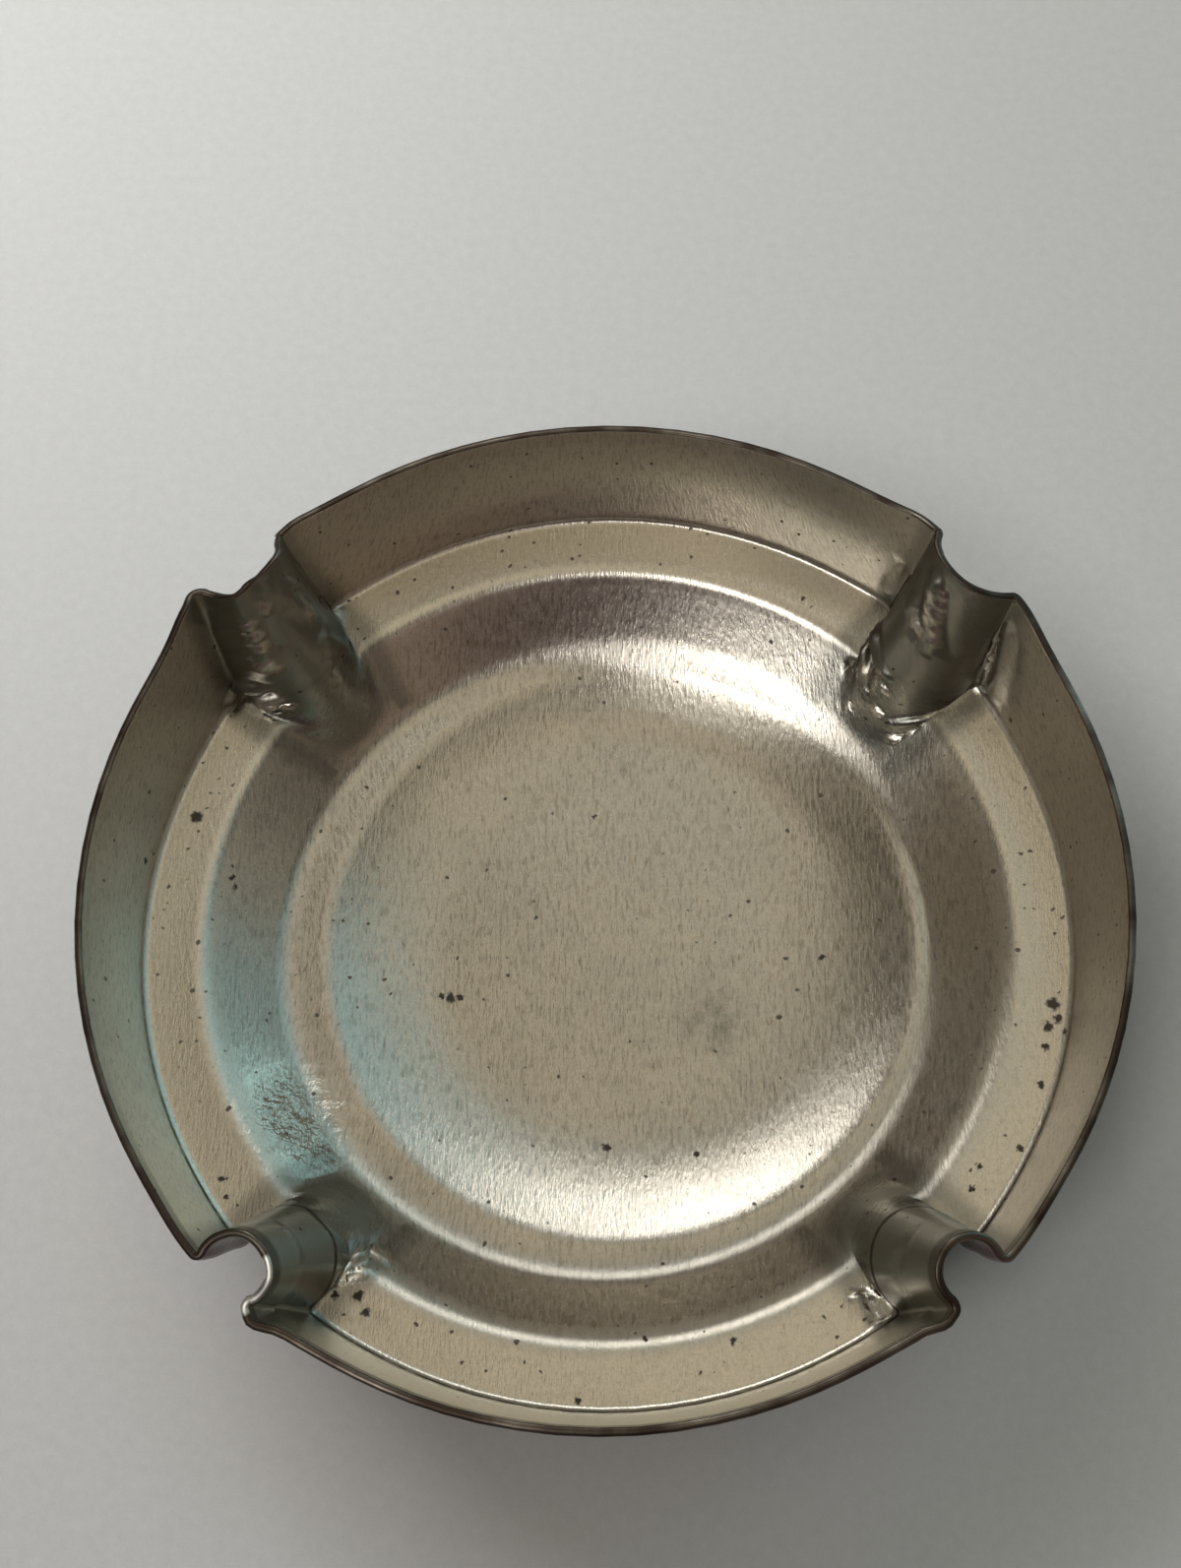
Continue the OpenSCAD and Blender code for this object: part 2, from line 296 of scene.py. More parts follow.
# Folds and dents that the bending of the skirt left at the grooves. Each is a straight crest
# on the sheet: (across, along) of both ends in mm, height towards the open side, half width.
# Across is 0 on the groove's middle line and grows anticlockwise; along is 0 at the foot of
# the bowl wall, about 2.7 at the seat, 4.5 at the crease and 9 at the lip.
FOLDS = [
    [  # right rear groove, the most crumpled
        (0.30, 8.2, -0.30, 6.1, 0.20, 0.28), (0.58, 8.1, 0.10, 6.2, -0.10, 0.22),
        (-0.02, 8.3, -0.52, 6.2, -0.10, 0.22), (0.40, 7.0, 0.45, 6.7, 0.16, 0.26),
        (1.62, 9.1, 1.78, 4.5, 0.20, 0.90), (-1.50, 6.9, -1.62, 4.9, 0.14, 0.40),
        (-1.95, 7.7, -2.55, 4.9, 0.15, 0.36), (-2.30, 7.6, -3.20, 5.0, -0.12, 0.34),
        (-2.10, 4.75, -2.12, 4.70, 0.16, 0.22), (0.20, 4.15, 0.75, 4.40, 0.16, 0.28),
        (0.75, 4.40, 1.25, 4.05, 0.16, 0.28), (0.70, 3.62, 0.80, 3.58, -0.26, 0.50),
        (1.25, 3.15, 0.35, 2.85, 0.18, 0.30), (0.30, 3.9, 0.15, 3.2, 0.10, 0.22),
        (-0.60, 2.25, -1.05, 2.60, 0.07, 0.34), (1.0, 2.3, 1.5, 1.9, -0.12, 0.30),
    ],
    [  # left rear groove
        (0.38, 9.0, 0.66, 6.0, 0.17, 0.36), (0.12, 8.8, 0.34, 6.5, -0.12, 0.28),
        (0.66, 6.0, 0.80, 5.55, 0.14, 0.34), (-0.15, 8.6, 0.05, 8.0, 0.10, 0.24),
        (-1.55, 9.1, -1.70, 4.4, 0.24, 0.95), (1.05, 5.00, 1.55, 4.75, 0.26, 0.28),
        (1.30, 4.62, 1.75, 4.20, -0.20, 0.24), (1.60, 4.75, 2.35, 4.55, 0.20, 0.24),
        (1.05, 4.45, 1.20, 3.95, 0.20, 0.26), (1.9, 4.25, 2.4, 4.1, -0.14, 0.22),
        (-2.85, 5.95, -2.90, 5.35, 0.10, 0.20), (-0.55, 5.3, -0.90, 4.1, 0.12, 0.30),
        (-0.2, 7.2, -0.5, 5.6, -0.08, 0.35), (0.95, 9.2, 1.15, 8.2, -0.30, 0.80),
    ],
    [  # left front groove
        (0.45, 9.1, 0.45, 7.3, 0.24, 0.85), (1.45, 9.2, 1.35, 7.8, -0.26, 0.75),
        (0.00, 4.6, 0.60, 3.2, -0.12, 0.26), (1.15, 2.35, 1.30, 2.15, 0.12, 0.32),
        (1.40, 3.05, 1.30, 2.85, 0.10, 0.26), (2.35, 3.45, 2.85, 3.30, -0.05, 0.22),
    ],
    [  # right front groove
        (-1.45, 9.2, -1.35, 7.6, -0.18, 0.55), (-2.05, 3.2, -2.35, 3.9, 0.10, 0.20),
        (-1.85, 3.3, -2.1, 4.1, -0.10, 0.20), (-0.2, 6.6, -0.6, 6.2, -0.07, 0.35),
    ],
]


def fold_heights(across, run):
    """How far each point of the grid is lifted by the folds of its groove."""
    lift = np.zeros(across.shape[:2])
    for k, folds in enumerate(FOLDS):
        here = across[..., 0] == k
        a, b = across[..., 1], np.broadcast_to(run[:, None], lift.shape)
        for a0, b0, a1, b1, height, half_width in folds:
            length = (a1 - a0) ** 2 + (b1 - b0) ** 2
            t = np.clip(((a - a0) * (a1 - a0) + (b - b0) * (b1 - b0)) / length, 0, 1)
            away = np.hypot(a - a0 - t * (a1 - a0), b - b0 - t * (b1 - b0))
            lift += here * height * np.clip(1 - away / half_width, 0, 1)
    return lift


# Small flats between the folds in which the camera sees a lamp. Each is where the photograph
# shows its glint: pixels of both ends (x0, y0, x1, y1), half width in mm, share of the tilt that
# mirrors a lamp, and how much painted highlight lightens the tin there
GLINTS = [
    # right rear groove
    (951, 600, 948, 609, 0.11, 1.0, 1.0), (948, 611, 946, 620, 0.11, 1.0, 1.0),
    (945, 622, 943, 631, 0.11, 1.0, 1.0), (959, 594, 957, 605, 0.08, 1.0, 1.0),
    (957, 607, 955, 618, 0.08, 1.0, 1.0), (955, 620, 953, 631, 0.08, 1.0, 1.0),
    (953, 633, 951, 644, 0.08, 1.0, 1.0), (951, 646, 949, 657, 0.08, 1.0, 1.0),
    (1014, 659, 1009, 667, 0.12, 1.0, 1.0), (1008, 669, 1003, 677, 0.12, 1.0, 1.0),
    (996, 700, 995, 706, 0.16, 1.0, 1.0), (937, 632, 934, 638, 0.20, 1.0, 1.0),
    (948, 722, 945, 731, 0.17, 0.1, 1.0), (936, 737, 922, 745, 0.22, 1.0, 1.0),
    (915, 744, 907, 755, 0.26, 1.0, 1.0), (853, 713, 852, 719, 0.14, 1.0, 1.0),
    (866, 712, 867, 726, 0.20, 1.0, 1.0), (894, 718, 895, 727, 0.16, 1.0, 1.0),
    (868, 684, 888, 686, 0.14, 1.0, 1.0), (895, 690, 905, 704, 0.12, 1.0, 1.0),
    (921, 569, 905, 600, 0.07, 1.0, 0.5),
    # left rear groove
    (251, 628, 256, 637, 0.10, 1.0, 0.5), (257, 639, 262, 648, 0.10, 1.0, 0.5),
    (263, 650, 268, 660, 0.10, 1.0, 0.6), (265, 668, 269, 682, 0.15, 1.0, 1.0),
    (271, 677, 281, 682, 0.10, 1.0, 0.5), (244, 704, 257, 713, 0.15, 1.0, 1.0),
    (247, 696, 264, 700, 0.15, 1.0, 1.0), (269, 708, 274, 720, 0.15, 1.0, 1.0),
    (268, 701, 286, 712, 0.15, 1.0, 1.0), (290, 712, 292, 720, 0.12, 1.0, 1.0),
    (284, 580, 298, 594, 0.06, 1.0, 0.3), (297, 594, 316, 630, 0.07, 1.0, 0.5),
    (330, 652, 334, 674, 0.06, 1.0, 0.25), (335, 676, 342, 695, 0.07, 1.0, 0.5),
    (343, 615, 342, 629, 0.09, 1.0, 1.0), (266, 607, 270, 622, 0.10, 1.0, 0.35),
    # left front groove
    (371, 1270, 389, 1284, 0.15, 1.0, 1.0), (337, 1296, 358, 1304, 0.16, 1.0, 1.0),
    # right front groove
    (882, 1322, 893, 1302, 0.14, 1.0, 1.0),
]
FLAT_MARGIN = 1.1          # a flat is this much longer and wider than its glint
FLAT_RISE = 0.24           # mm, the most that tilting lifts the end of a flat
FLAT_EDGE = 3.5            # how sharply a flat ends: 1 fades from its middle
GLINT_PAINT = 1.2               # how far a glint's painted highlight takes the grooves' painted shade away
GRAZING = 0.02             # what the camera sees flatter than this counts as hidden


def direction(azimuth, height):
    """Unit direction: azimuth from +X towards +Y and height above the horizon, in degrees."""
    a, e = math.radians(azimuth), math.radians(height)
    return np.array([math.cos(a) * math.cos(e), math.sin(a) * math.cos(e), math.sin(e)])


def seen_from_camera(points, normal):
    """Where the photograph shows each point, in pixels, and the way from it to the camera."""
    turn = np.array(Euler([math.radians(v) for v in CAMERA_TURN]).to_matrix())
    to_camera = np.array(CAMERA_PLACE) - points
    view = -to_camera @ turn
    scale = LENS / SENSOR * IMAGE_SIZE[1] / -view[..., 2:]
    pixels = np.array(IMAGE_SIZE) / 2 + scale * view[..., :2] * (1, -1)
    to_camera /= np.linalg.norm(to_camera, axis=-1, keepdims=True)
    pixels[(normal * to_camera).sum(axis=-1) < GRAZING] = np.inf
    return pixels, to_camera


def nearest(pixels, x, y):
    """Row and column of the point that the photograph shows nearest to a pixel."""
    away = np.hypot(pixels[..., 0] - x, pixels[..., 1] - y)
    return np.unravel_index(np.argmin(away), away.shape)


def lamp_slope(point, normal, across_way, to_camera):
    """Least slope, across and along, that turns the sheet so that the camera sees a lamp in it."""
    along_way = np.cross(across_way, normal)
    slopes = []
    for lamp in LAMPS:
        to_lamp = unit(direction(lamp["azimuth"], lamp["height"]) * lamp["distance"] / MM - point)
        mirror = unit(to_lamp + to_camera)
        if lamp["mirrored"] and mirror @ normal > 0.05:
            slopes.append(-np.array([mirror @ across_way, mirror @ along_way]) / (mirror @ normal))
    return min(slopes, key=np.linalg.norm)


def glint_flats(grid, across, run, flat_rows):
    """The flat of each glint: groove, middle, turn, half length, half width, slopes, share of painted
    highlight.
    """
    normal = square_to(grid, flat_rows)
    pixels, to_camera = seen_from_camera(grid, normal)
    columns = grid.shape[1]
    flats = []
    for x0, y0, x1, y1, half_width, share, glint_paint_share in GLINTS:
        i, j = nearest(pixels, (x0 + x1) / 2, (y0 + y1) / 2)
        groove = across[i, j, 0]
        ends = [nearest(pixels, x0, y0), nearest(pixels, x1, y1)]
        (k0, a0, b0), (k1, a1, b1) = [(across[e][0], across[e][1], run[e[0]]) for e in ends]
        length = math.hypot(a1 - a0, b1 - b0) / 2 if k0 == k1 == groove else 0.0
        turn = math.atan2(b1 - b0, a1 - a0) if length > half_width else 0.0
        length = FLAT_MARGIN * max(length, half_width)
        across_way = grid[i, (j + 1) % columns] - grid[i, j - 1]
        across_way = unit(across_way - normal[i, j] * (across_way @ normal[i, j]))
        slope = lamp_slope(grid[i, j], normal[i, j], across_way, to_camera[i, j])
        slope *= share * min(1, FLAT_RISE / (np.linalg.norm(slope) * length))
        flats.append((groove, across[i, j, 1], run[i], turn, length, FLAT_MARGIN * half_width,
                      slope[0], slope[1], glint_paint_share))
    return flats


def flat_heights(flats, across, run):
    """How far each point of the grid is lifted by the flats, and how much painted highlight it gets."""
    lift, painted_glint = np.zeros(across.shape[:2]), np.zeros(across.shape[:2])
    for groove, a0, b0, turn, length, width, slope_a, slope_b, glint_paint_share in flats:
        da, db = across[..., 1] - a0, run[:, None] - b0
        c, s = math.cos(turn), math.sin(turn)
        off = np.hypot((da * c + db * s) / length, (db * c - da * s) / width)
        inside = (across[..., 0] == groove) * np.clip(FLAT_EDGE * (1 - off), 0, 1)
        lift += inside * (slope_a * da + slope_b * db)
        # painted highlight on the flat where it mirrors a lamp
        painted_glint = np.maximum(painted_glint, glint_paint_share * inside)
    return lift, painted_glint


def square_to(grid, flat_rows):
    """Unit directions square to a grid of points, pointing to the open side."""
    along = np.zeros_like(grid)
    along[1:-1] = grid[2:] - grid[:-2]
    along[0], along[-1] = grid[1] - grid[0], grid[-1] - grid[-2]
    around = np.roll(grid, -1, axis=1) - np.roll(grid, 1, axis=1)
    n = np.cross(along, around)
    n /= np.linalg.norm(n, axis=2, keepdims=True)
    n[:flat_rows] = (0, 0, 1)
    return n


def pressed_sheet():
    """Middle of the sheet with its folds and flats: points, normals, place on the flat sheet, and the
    grooves' painted shade less the glints' painted highlight.
    """
    grid, across, run, developed, flat_rows = middle_surface()
    grid = grid + fold_heights(across, run)[..., None] * square_to(grid, flat_rows)
    flats = glint_flats(grid, across, run, flat_rows)
    lift, painted_glint = flat_heights(flats, across, run)
    grid = grid + lift[..., None] * square_to(grid, flat_rows)
    angle = np.arctan2(grid[..., 1], grid[..., 0])
    sheet = developed[:, None, None] * np.stack([np.cos(angle), np.sin(angle)], axis=-1)
    # the grooves' painted shade, less the painted highlight of the glints
    return grid, square_to(grid, flat_rows), sheet, across[..., 2] - GLINT_PAINT * painted_glint


def capsule_mesh(grid, normal, sheet, painted_shade_and_glint):
    """The sheet with its thickness and its cut edge, and its place and the grooves' painted shade and glint
    highlight as attributes.
    """
    rows, columns = grid.shape[:2]
    inner, outer = grid + HALF * normal, grid - HALF * normal
    verts, sheet_xy, groove_shade_and_glint = [], [], []

    def add(points, i):
        start = len(verts)
        for p, xy, g in zip(points, sheet[i], painted_shade_and_glint[i]):
            verts.append((p[0] * MM, p[1] * MM, max(p[2], 0.0) * MM))
            sheet_xy.append((xy[0], xy[1], 0.0))
            groove_shade_and_glint.append(g)
        return start

    loops = []         # rings of vertices from the middle of the open side to the middle below
    for i in range(rows):
        loops.append((add(inner[i], i), 0))
    edge_out = grid[-1] - grid[-2]
    edge_out /= np.linalg.norm(edge_out, axis=1, keepdims=True)
    for phi in (45, 90, 135):
        ring = (grid[-1] + HALF * math.cos(math.radians(phi)) * normal[-1]
                + CUT_EDGE_BULGE * math.sin(math.radians(phi)) * edge_out)
        loops.append((add(ring, rows - 1), 2))
    for i in range(rows - 1, -1, -1):
        loops.append((add(outer[i], i), 1))
    faces, slots = [], []
    for (a, tag_a), (b, tag_b) in zip(loops, loops[1:]):
        slot = 2 if 2 in (tag_a, tag_b) else tag_a
        for j in range(columns):
            k = (j + 1) % columns
            faces.append((a + j, b + j, b + k, a + k))
            slots.append(slot)
    for centre_z, ring, tag in ((SHEET, loops[0][0], 0), (0.0, loops[-1][0], 1)):
        mid = len(verts)
        verts.append((0.0, 0.0, centre_z * MM))
        sheet_xy.append((0.0, 0.0, 0.0))
        groove_shade_and_glint.append(0.0)
        for j in range(columns):
            k = (j + 1) % columns
            faces.append((mid, ring + j, ring + k) if tag == 0 else (mid, ring + k, ring + j))
            slots.append(tag)
    mesh = bpy.data.meshes.new("capsule_sheet")
    mesh.from_pydata(verts, [], faces)
    mesh.polygons.foreach_set("material_index", slots)
    mesh.polygons.foreach_set("use_smooth", [True] * len(faces))
    layer = mesh.attributes.new("sheet", "FLOAT_VECTOR", "POINT")
    layer.data.foreach_set("vector", np.array(sheet_xy, float).ravel())
    mesh.attributes.new("groove", "FLOAT", "POINT").data.foreach_set("value", groove_shade_and_glint)
    mesh.validate()
    mesh.update()
    return mesh


# ---------------------------------------------------------------- materials
# Dark pits in the tin: where the photograph shows each, in pixels, and its radius in mm
PITS = [
    # on the seat and the skirt
    (200, 830, 0.17), (148, 875, 0.10), (1070, 1020, 0.17), (1075, 1035, 0.12), (1065, 1043, 0.13),
    (1063, 1063, 0.10), (1082, 1048, 0.09), (1058, 1102, 0.10), (1037, 1167, 0.09), (995, 1185, 0.08),
    (987, 1208, 0.09), (1022, 1218, 0.08), (587, 1424, 0.09), (745, 1363, 0.08), (655, 1360, 0.07),
    (225, 1198, 0.08), (229, 1215, 0.07), (236, 892, 0.08), (239, 901, 0.07),
    # on the face and the bowl wall
    (908, 1198, 0.09), (616, 1166, 0.13), (708, 1172, 0.09), (835, 972, 0.09), (604, 830, 0.06),
    (449, 1012, 0.10), (458, 1014, 0.14), (468, 1013, 0.09),
    # at the left front groove
    (364, 1316, 0.13), (372, 1333, 0.12), (340, 1316, 0.09),
]

# Places on the flat sheet, mm from its middle
SKIRT_SHADE = (8.9, 15.4, 0.0)          # painted shade on the skirt beside the right rear groove
SMUDGE = (3.4, -2.2, 0.0)
CRUMPLED = (-9.9, -6.0, 0.0)        # small crumples in the bowl wall
CUT_EDGE_HIGHLIGHT = (-12.4, -15.4, 0.0)          # painted highlight on the cut edge
FOOT_AT, SEAT_AT, CREASE_AT = 10.45, 13.2, 15.38
# colour of the dirt and of the painted shade along the crease
DIRT_AND_SHADE = (0.040, 0.026, 0.018, 1)


def pit_places(grid, normal, sheet):
    """Place on the flat sheet (x, y) and radius of each pit, mm."""
    pixels, _ = seen_from_camera(grid + HALF * normal, normal)
    columns = grid.shape[1]
    places = []
    for x, y, radius in PITS:
        i, j = nearest(pixels, x, y)
        right = (j + 1) % columns
        seen = np.array([pixels[i + 1, j] - pixels[i - 1, j], pixels[i, right] - pixels[i, j - 1]])
        flat = np.array([sheet[i + 1, j] - sheet[i - 1, j], sheet[i, right] - sheet[i, j - 1]])
        step = np.linalg.solve(seen.T, np.array([x, y]) - pixels[i, j])
        places.append((*(sheet[i, j] + flat.T @ step), radius))
    return places


class Nodes:
    """Short calls for making shader nodes."""

    def __init__(self, material):
        material.use_nodes = True
        self.tree = material.node_tree
        self.tree.nodes.clear()

    def add(self, kind, inputs=(), **settings):
        node = self.tree.nodes.new(kind)
        for key, value in settings.items():
            setattr(node, key, value)
        for key, value in dict(inputs).items():
            if isinstance(value, bpy.types.NodeSocket):
                self.tree.links.new(value, node.inputs[key])
            else:
                node.inputs[key].default_value = value
        return node

    def math(self, op, a, b=0.0, clamp=False):
        return self.add("ShaderNodeMath", {0: a, 1: b}, operation=op, use_clamp=clamp).outputs[0]

    def noise(self, vector, scale, detail=4.0, rough=0.5):
        return self.add("ShaderNodeTexNoise", {"Vector": vector, "Scale": scale, "Detail": detail,
                                               "Roughness": rough}).outputs["Fac"]

    def ramp(self, value, low, high, to_low=0.0, to_high=1.0):
        return self.add("ShaderNodeMapRange", {0: value, 1: low, 2: high, 3: to_low, 4: to_high},
                        clamp=True).outputs[0]

    def mix(self, factor, a, b):
        node = self.add("ShaderNodeMix", data_type="RGBA")
        for socket, value in ((0, factor), (6, a), (7, b)):
            if isinstance(value, bpy.types.NodeSocket):
                self.tree.links.new(value, node.inputs[socket])
            else:
                node.inputs[socket].default_value = value
        return node.outputs[2]

    def stretched(self, vector, scale):
        return self.add("ShaderNodeMapping", {"Vector": vector, "Scale": scale}).outputs[0]


def sheet_place(n):
    """The point's place on the flat sheet, in mm from its middle."""
    return n.add("ShaderNodeAttribute", attribute_name="sheet").outputs["Vector"]


def near_to(n, sheet, place, full, gone, amount=1.0):
    """Mask that is amount within full mm of a place on the sheet, and 0 past gone mm."""
    away = n.add("ShaderNodeVectorMath", {0: sheet, 1: place}, operation="DISTANCE").outputs["Value"]
    return n.ramp(away, full, gone, amount, 0.0)


def ring_mask(n, out, radius, full, gone):
    """Mask along a ring of the sheet: 1 within full mm of it and 0 past gone mm."""
    return n.ramp(n.math("ABSOLUTE", n.math("SUBTRACT", out, radius)), full, gone, 1.0, 0.0)


def tin_dirt_and_shade(n, sheet, out, ring, y, pits):
    """How dark the tin is made: painted shade along the crease, strongest on the near side, darker at the
    lip towards the near side, and dirty places (smudge, pits, fine specks); and a mask of its near side.
    """
    near = n.ramp(y, 3.0, -9.0, 0.15, 1.0)
    patchy = n.ramp(n.noise(sheet, 1.6, 4.0, 0.7), 0.30, 0.50, 0.3, 1.0)
    # painted shade along the crease, strongest on the near side
    dirt_and_shade = n.math("MULTIPLY", n.math("MULTIPLY", ring_mask(n, out, CREASE_AT, 0.05, 0.15), near), patchy)
    lip = n.math("MULTIPLY", n.ramp(out, 19.15, 19.35), n.ramp(y, -7.0, -15.0, 0.1, 1.0))
    dirt_and_shade = n.math("MAXIMUM", dirt_and_shade, n.math("MULTIPLY", lip, 0.6))
    cloudy = n.ramp(n.noise(sheet, 1.5, 4.0, 0.7), 0.35, 0.65)
    smudge = n.math("MULTIPLY", near_to(n, sheet, SMUDGE, 0.3, 1.6), cloudy)
    dirt_and_shade = n.math("MAXIMUM", dirt_and_shade, n.math("MULTIPLY", smudge, 0.4))
    uneven = n.math("MULTIPLY", n.math("SUBTRACT", n.noise(sheet, 8.0, 2.0), 0.5), 0.28)
    for x, y_pit, radius in pits:
        away = n.add("ShaderNodeVectorMath", {0: sheet, 1: (x, y_pit, 0.0)}, operation="DISTANCE")
        away = n.math("ADD", away.outputs["Value"], uneven)
        dirt_and_shade = n.math("MAXIMUM", dirt_and_shade, n.ramp(away, radius * 0.85, radius * 1.45, 1.0, 0.0))
    speck = n.math("ADD", n.noise(sheet, 3.6, 0.0), n.math("MULTIPLY", ring, 0.03))
    return n.math("MAXIMUM", dirt_and_shade, n.ramp(speck, 0.80, 0.84, 0.0, 0.85)), near


def tin_colour(n, sheet, skirt, ring, y, groove_shade_and_glint, grain, blotch):
    """Colour of the bare tin before it gets dirty, with painted shade in and beside the grooves and on the
    skirt by the right rear groove, painted highlight on the glints, and painted light on the near side of
    the skirt.
    """
    cloud = n.noise(sheet, 0.22, 4.0, 0.55)
    colour = n.mix(n.ramp(cloud, 0.35, 0.68), (0.78, 0.725, 0.63, 1), (0.70, 0.66, 0.58, 1))
    colour = n.mix(n.math("MULTIPLY", n.ramp(blotch, 0.55, 0.8), 0.35), colour, (0.52, 0.485, 0.42, 1))
    colour = n.mix(n.ramp(grain, 0.36, 0.50, 0.38, 0.0), colour, (0.27, 0.25, 0.21, 1))
    ticks = n.noise(n.stretched(sheet, (13.0, 2.0, 1.0)), 1.0, 2.0, 0.5)
    colour = n.mix(n.ramp(ticks, 0.62, 0.70, 0.0, 0.50), colour, (0.16, 0.14, 0.11, 1))
    # painted shade on the skirt beside the right rear groove
    skirt_shade = n.math("MULTIPLY", skirt, near_to(n, sheet, SKIRT_SHADE, 1.0, 5.0, 0.55))
    colour = n.mix(skirt_shade, colour, (0.26, 0.26, 0.22, 1))
    colour = n.mix(n.math("MULTIPLY", ring, 0.70), colour, (0.92, 0.855, 0.735, 1))
    # painted light: the skirt made lighter towards the near side
    near_skirt_painted_light = n.math("MULTIPLY", skirt, n.ramp(y, -9.0, -14.0, 0.0, 0.8))
    colour = n.mix(near_skirt_painted_light, colour, (0.97, 0.92, 0.80, 1))
    mottled = n.ramp(n.noise(sheet, 5.0, 3.0, 0.6), 0.50, 0.70, 0.0, 0.22)
    colour = n.mix(mottled, colour, (0.33, 0.30, 0.25, 1))
    # painted shade in and beside the grooves
    colour = n.mix(n.math("MULTIPLY", groove_shade_and_glint, 0.9), colour, (0.25, 0.25, 0.225, 1))
    # painted highlight on the glints' flats
    colour = n.mix(n.ramp(groove_shade_and_glint, -0.1, -0.6), colour, (0.93, 0.93, 0.86, 1))
    peppered = n.ramp(n.noise(sheet, 12.0, 2.0, 0.6), 0.40, 0.62, 0.0, 0.14)
    return n.mix(peppered, colour, (0.25, 0.23, 0.19, 1))


def tin_roughness(n, out, skirt, groove_shade_and_glint, grain, blotch, dirt_and_shade, near):
    """Rougher where the tin is dirty or has painted shade, where the glints have painted highlight, on the
    skirt, and on the near side's bends.
    """
    rough = n.math("ADD", n.ramp(grain, 0.3, 0.7, 0.20, 0.27), n.ramp(blotch, 0.3, 0.75, 0.0, 0.06))
    rough = n.math("ADD", rough, n.math("MULTIPLY", dirt_and_shade, 0.3))
    rough = n.math("ADD", rough, n.math("MULTIPLY", skirt, 0.08))
    bends = n.math("MAXIMUM", ring_mask(n, out, FOOT_AT, 0.2, 0.7), ring_mask(n, out, SEAT_AT, 0.2, 0.6))
    rough = n.math("ADD", rough, n.math("MULTIPLY", n.math("MULTIPLY", bends, near), 0.13))
    return n.math("ADD", rough, n.ramp(groove_shade_and_glint, -0.1, -0.6, 0.0, 0.12))


def tin_bump(n, sheet, grain):
    """Relief of the drawn grain, and the crumpled place in the bowl wall."""
    fine = n.noise(n.stretched(sheet, (22.0, 5.0, 1.0)), 1.0, 2.0, 0.5)
    height = n.math("ADD", n.math("MULTIPLY", grain, 0.65), n.math("MULTIPLY", fine, 0.35))
    crumples = n.math("MULTIPLY", near_to(n, sheet, CRUMPLED, 0.9, 2.1, 8.0), n.noise(sheet, 1.7, 3.0, 0.6))
    height = n.math("ADD", height, crumples)
    return n.add("ShaderNodeBump", {"Height": height, "Strength": 0.8, "Distance": 0.000022}).outputs[0]


def tin_material(pits):
    """Bare tin with its grain drawn along Y, dirty places, painted shade in the grooves, along the crease
    and on the skirt, painted light on the near skirt, and painted highlight on the glints' flats.
    """
    m = bpy.data.materials.new("tinplate_inside")
    n = Nodes(m)
    sheet = sheet_place(n)
    out = n.add("ShaderNodeVectorMath", {0: sheet}, operation="LENGTH").outputs["Value"]
    y = n.add("ShaderNodeSeparateXYZ", {0: sheet}).outputs[1]
    skirt = n.ramp(out, 14.9, 15.4)
    ring = n.math("MULTIPLY", n.ramp(out, 12.6, 13.2), n.ramp(out, 15.0, 15.4, 1.0, 0.0))
    groove_shade_and_glint = n.add("ShaderNodeAttribute", attribute_name="groove").outputs["Fac"]
    grain = n.noise(n.stretched(sheet, (9.0, 1.8, 1.0)), 1.0, 3.0, 0.6)
    blotch = n.noise(sheet, 0.9, 5.0, 0.6)
    dirt_and_shade, near = tin_dirt_and_shade(n, sheet, out, ring, y, pits)
    colour = tin_colour(n, sheet, skirt, ring, y, groove_shade_and_glint, grain, blotch)
    # darkened by dirt and by the painted shade along the crease
    colour = n.mix(n.math("MULTIPLY", dirt_and_shade, 0.90), colour, DIRT_AND_SHADE)
    rough = tin_roughness(n, out, skirt, groove_shade_and_glint, grain, blotch, dirt_and_shade, near)
    across_grain = n.add("ShaderNodeVectorTransform", {"Vector": (1.0, 0.0, 0.0)}, vector_type="VECTOR",
                         convert_from="OBJECT", convert_to="WORLD").outputs[0]
    shader = n.add("ShaderNodeBsdfPrincipled", {"Base Color": colour, "Metallic": 1.0, "Roughness": rough,
                                                "Anisotropic": 0.5, "Tangent": across_grain,
                                                "Normal": tin_bump(n, sheet, grain)})
    n.add("ShaderNodeOutputMaterial", {"Surface": shader.outputs[0]})
    return m


def lacquer_material():
    """Plain lacquer on the outside."""
    m = bpy.data.materials.new("lacquer_outside")
    n = Nodes(m)
    sheet = sheet_place(n)
    cloud = n.noise(sheet, 0.4, 4.0)
    colour = n.mix(n.ramp(cloud, 0.35, 0.65), (0.105, 0.036, 0.030, 1), (0.075, 0.026, 0.024, 1))
    rough = n.ramp(n.noise(sheet, 2.5, 5.0), 0.3, 0.7, 0.26, 0.42)
    bump = n.add("ShaderNodeBump", {"Height": n.noise(sheet, 6.0, 3.0), "Strength": 0.2,
                                    "Distance": 0.00001}).outputs[0]
    shader = n.add("ShaderNodeBsdfPrincipled", {"Base Color": colour, "Roughness": rough, "Normal": bump,
                                                "Coat Weight": 0.3, "Coat Roughness": 0.2})
    n.add("ShaderNodeOutputMaterial", {"Surface": shader.outputs[0]})
    return m


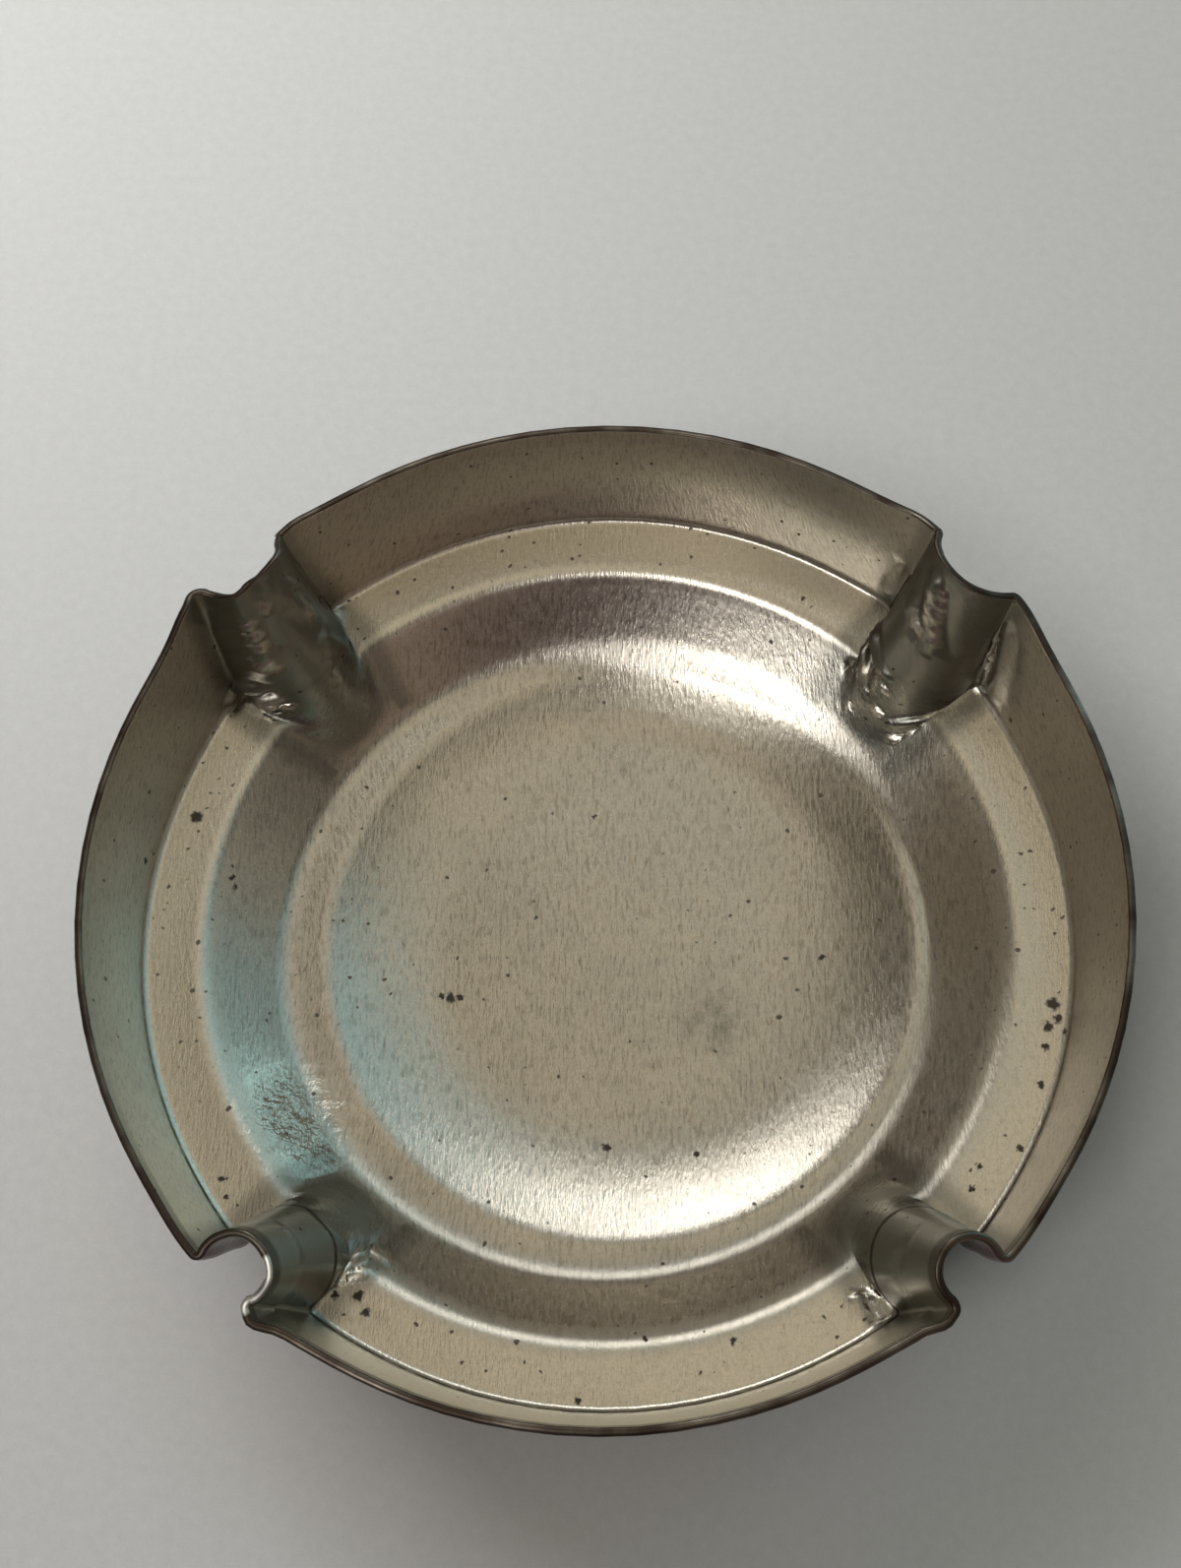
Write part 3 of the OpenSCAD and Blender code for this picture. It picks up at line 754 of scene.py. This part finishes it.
def cut_edge_material():
    """Raw edge of the sheet at the lip, worn lighter in places, with a painted highlight at one spot."""
    m = bpy.data.materials.new("cut_edge")
    n = Nodes(m)
    sheet = sheet_place(n)
    wear = n.noise(sheet, 0.45, 4.0)
    colour = n.mix(n.ramp(wear, 0.42, 0.75), (0.065, 0.048, 0.038, 1), (0.26, 0.235, 0.20, 1))
    # painted highlight on the cut edge
    colour = n.mix(near_to(n, sheet, CUT_EDGE_HIGHLIGHT, 0.25, 0.40, 0.9), colour, (0.85, 0.84, 0.80, 1))
    shader = n.add("ShaderNodeBsdfPrincipled", {"Base Color": colour, "Metallic": 1.0,
                                                "Roughness": n.ramp(wear, 0.3, 0.7, 0.5, 0.25)})
    n.add("ShaderNodeOutputMaterial", {"Surface": shader.outputs[0]})
    return m


def table_material():
    m = bpy.data.materials.new("table_top")
    n = Nodes(m)
    place = n.add("ShaderNodeTexCoord").outputs["Object"]
    speck = n.noise(place, 2600.0, 3.0, 0.7)
    cloud = n.noise(place, 30.0, 3.0)
    colour = n.mix(n.ramp(speck, 0.3, 0.7), (0.555, 0.56, 0.56, 1), (0.61, 0.615, 0.615, 1))
    colour = n.mix(n.ramp(cloud, 0.35, 0.65, 0.0, 0.25), colour, (0.56, 0.56, 0.55, 1))
    grit = n.ramp(n.noise(place, 16000.0, 2.0, 0.8), 0.35, 0.65, 0.0, 0.10)
    colour = n.mix(grit, colour, (0.20, 0.20, 0.20, 1))
    shader = n.add("ShaderNodeBsdfPrincipled", {"Base Color": colour, "Roughness": 0.6})
    n.add("ShaderNodeOutputMaterial", {"Surface": shader.outputs[0]})
    return m


# ---------------------------------------------------------------- scene
# The room that the metal mirrors: azimuth from +X towards +Y and height above the horizon,
# half angles of the patch's core and of its faded edge, in degrees, and its colour
ROOM = [
    (95, 25, 20, 50, (0.14, 0.135, 0.11)),       # wall behind
    (155, 30, 25, 50, (0.14, 0.12, 0.09)),       # left of the table
    (305, 30, 15, 42, (0.22, 0.17, 0.13)),       # right of the figure
    (262, 30, 22, 42, (0.056, 0.034, 0.035)),    # dark figure in front
    (95, 84, 11, 30, (0.56, 0.50, 0.39)),        # warm ceiling
    (14, 16, 8, 26, (0.30, 0.29, 0.24)),         # wall beside the window
    (45, 46, 8, 24, (0.34, 0.53, 0.58)),         # daylight on the wall above the window
    (36, 10, 12, 28, (0.24, 0.36, 0.38)),        # window frame and curtain
    (47, 13, 5, 12, (0.95, 1.60, 1.70)),         # window pane
    (152, 56, 9, 24, (0.085, 0.075, 0.058)),     # dark corner on the left
]


ROOM_BASE = (0.070, 0.067, 0.055, 1)
TABLE_HALF = 1.5           # half the side of the table top, metres


def place_object(name, data, loc=(0, 0, 0)):
    ob = bpy.data.objects.new(name, data)
    ob.location = loc
    bpy.context.scene.collection.objects.link(ob)
    return ob


def make_capsule():
    grid, normal, sheet, painted_shade_and_glint = pressed_sheet()
    ob = place_object("capsule_shell", capsule_mesh(grid, normal, sheet, painted_shade_and_glint))
    tin = tin_material(pit_places(grid, normal, sheet))
    for material in (tin, lacquer_material(), cut_edge_material()):
        ob.data.materials.append(material)
    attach(ob, "root")
    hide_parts("capsule")


def make_table():
    """Plain pale table under the capsule."""
    mesh = bpy.data.meshes.new("table_top")
    corners = [(x * TABLE_HALF, y * TABLE_HALF, 0) for x, y in ((-1, -1), (1, -1), (1, 1), (-1, 1))]
    mesh.from_pydata(corners, [], [(0, 1, 2, 3)])
    ob = place_object("table_top", mesh)
    mesh.materials.append(table_material())


def soft_card(name, azimuth, height, distance, width, tall, colour, radiance, mirrored):
    """A soft lamp facing the capsule, as LAMPS describes it."""
    light = bpy.data.lights.new(name, "AREA")
    light.shape = "RECTANGLE"
    light.size, light.size_y = width, tall
    light.color = colour
    light.energy = radiance * math.pi * width * tall
    away = Vector(direction(azimuth, height))
    ob = place_object(name, light, away * distance)
    ob.rotation_euler = away.to_track_quat("Z", "Y").to_euler()
    ob.visible_glossy = mirrored


def room_lobe(n, seen, colour_so_far, azimuth, height, core, fade, colour):
    """Blend a soft patch of the room's colour in around one direction."""
    way = tuple(direction(azimuth, height))
    dot = n.add("ShaderNodeVectorMath", {0: seen, 1: way}, operation="DOT_PRODUCT").outputs["Value"]
    amount = n.add("ShaderNodeMapRange", {0: dot, 1: math.cos(math.radians(fade)),
                                          2: math.cos(math.radians(core)), 3: 0.0, 4: 1.0},
                   interpolation_type="SMOOTHSTEP").outputs[0]
    return n.mix(amount, colour_so_far, (*colour, 1))


def make_lights():
    """The room as soft patches of colour, and the lamps."""
    world = bpy.data.worlds.new("room")
    n = Nodes(world)
    seen = n.add("ShaderNodeTexCoord").outputs["Generated"]
    colour = ROOM_BASE
    for lobe in ROOM:
        colour = room_lobe(n, seen, colour, *lobe)
    background = n.add("ShaderNodeBackground", {"Color": colour, "Strength": 1.0})
    n.add("ShaderNodeOutputWorld", {"Surface": background.outputs[0]})
    bpy.context.scene.world = world
    for lamp in LAMPS:
        soft_card(**lamp)


def make_camera():
    data = bpy.data.cameras.new("camera")
    data.lens, data.sensor_width = LENS, SENSOR
    data.clip_start, data.clip_end = 0.002, 10.0
    cam = place_object("camera", data, Vector(CAMERA_PLACE) * MM)
    cam.rotation_euler = [math.radians(v) for v in CAMERA_TURN]
    bpy.context.scene.camera = cam


make_camera()
make_capsule()
make_table()
make_lights()
bpy.context.scene.view_settings.view_transform = "Standard"
